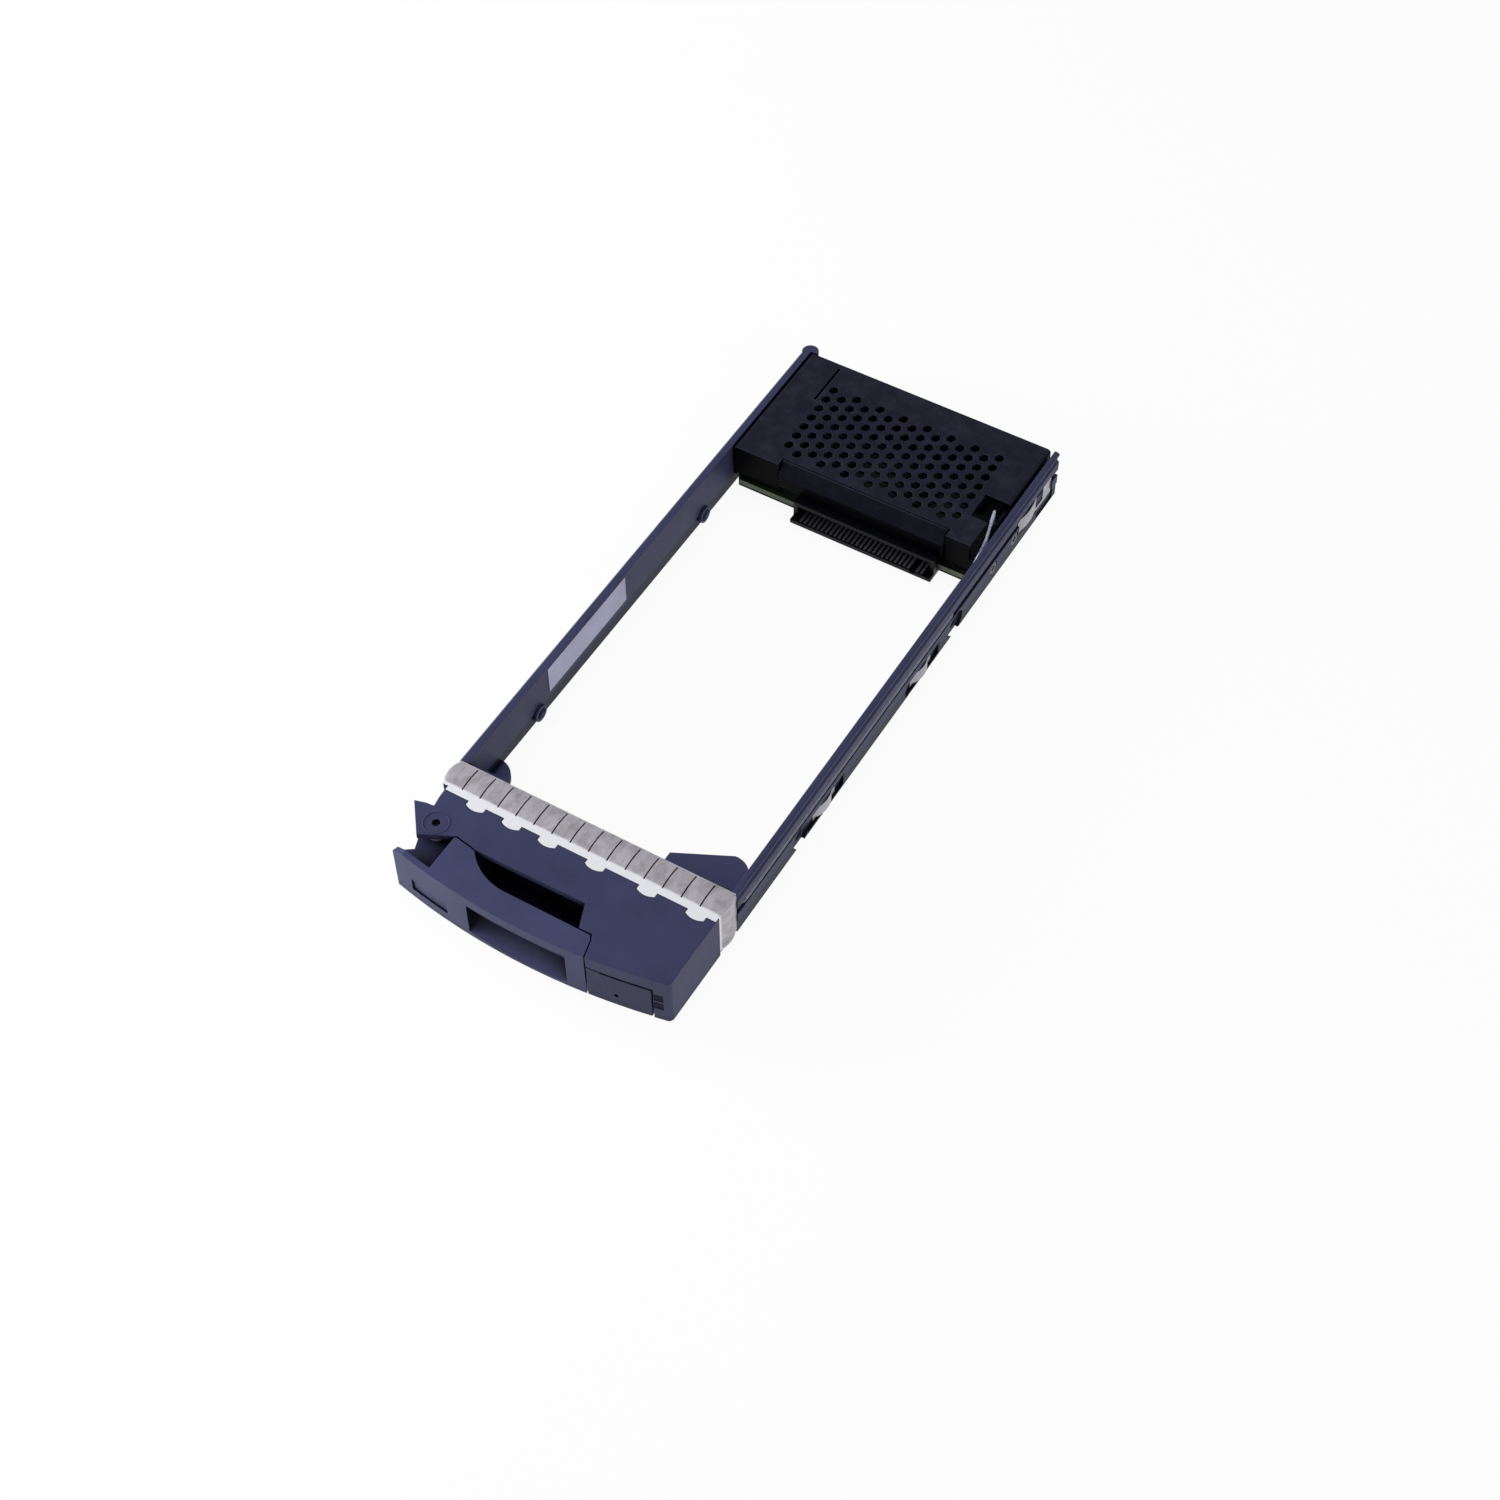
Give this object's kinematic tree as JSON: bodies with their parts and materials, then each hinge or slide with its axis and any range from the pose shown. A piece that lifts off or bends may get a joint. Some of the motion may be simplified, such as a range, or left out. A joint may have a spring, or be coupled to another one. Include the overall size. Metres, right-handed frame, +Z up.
{
  "type": "hot swap drive caddy",
  "caption": "Slide-in carrier frame for one small drive, with a front cam lever, release button, spring-finger gasket and a perforated rear cage that holds the connector board.",
  "frame": {"origin": "underside of the frame, on the centre line, where the bezel's shoulder meets the gasket", "axes": "+X to the right seen from the front, +Y from the bezel to the rear connector, +Z up"},
  "size_m": [0.0791, 0.1961, 0.0154],
  "materials": {
    "moulded_blue_grey": "fine grain moulded plastic, dark blue-grey",
    "rail_blue_grey": "fine grain moulded plastic, dark blue-grey",
    "cage_black": "matt black coated sheet steel",
    "spring_steel": "plain nickel-plated spring strip",
    "pin_steel": "plain steel",
    "screw_black": "black zinc",
    "board_green": "green solder mask, satin",
    "connector_black": "black moulded plastic",
    "chip_black": "moulded chip packages",
    "contact_gold": "gold-plated contacts",
    "clear_plastic": "clear moulded plastic",
    "lens_smoke": "smoked clear plastic",
    "label_pale": "blank printed-film label"
  },
  "bodies": {
    "frame": {"bezel_body": "moulded_blue_grey", "left_rail": "rail_blue_grey", "right_rail": "rail_blue_grey", "right_leaf_spring_front": "spring_steel", "right_leaf_spring_rear": "spring_steel", "left_leaf_spring_front": "spring_steel", "left_leaf_spring_rear": "spring_steel", "ground_clip": "spring_steel", "emi_gasket": "spring_steel", "lever_pin": "pin_steel", "pawl_pin": "pin_steel", "lever_spring": "pin_steel", "button_spring": "pin_steel", "indicator_lens_lower": "lens_smoke", "indicator_lens_upper": "lens_smoke", "light_pipe_lower": "clear_plastic", "light_pipe_upper": "clear_plastic", "cage_cover": "cage_black", "cage_tray": "cage_black", "interposer_board": "board_green", "board_chips": "chip_black", "drive_connector": "connector_black", "drive_contacts": "contact_gold", "backplane_plug": "connector_black", "backplane_contacts": "contact_gold", "blank_label": "label_pale", "cage_screws": "screw_black", "foot_screws": "screw_black", "board_screws": "screw_black"},
    "lever": {"cam_lever": "moulded_blue_grey"},
    "button": {"release_button": "moulded_blue_grey"},
    "pawl": {"latch_pawl": "moulded_blue_grey"}
  },
  "joints": [
    {"name": "lever_swing", "type": "hinge", "parent": "frame", "child": "lever", "pos_m": [-0.0323, -0.0104, 0.0075], "axis": [0, 0, -1], "range_deg": [0, 60], "deforming": ["lever_spring"]},
    {"name": "button_press", "type": "slide", "parent": "frame", "child": "button", "axis": [0, 1, 0], "range_m": [0, 0.0015], "stiffness_N_per_m": 400, "springref_m": -0.0005, "deforming": ["button_spring"]},
    {"name": "pawl_turn", "type": "hinge", "parent": "frame", "child": "pawl", "pos_m": [0.0215, -0.009, 0.006], "axis": [0, 0, 1], "range_deg": [0, 17.5]}
  ],
  "couplings": [
    {"joint": "pawl_turn", "follows": "button_press", "rad_per_m": 200}
  ]
}
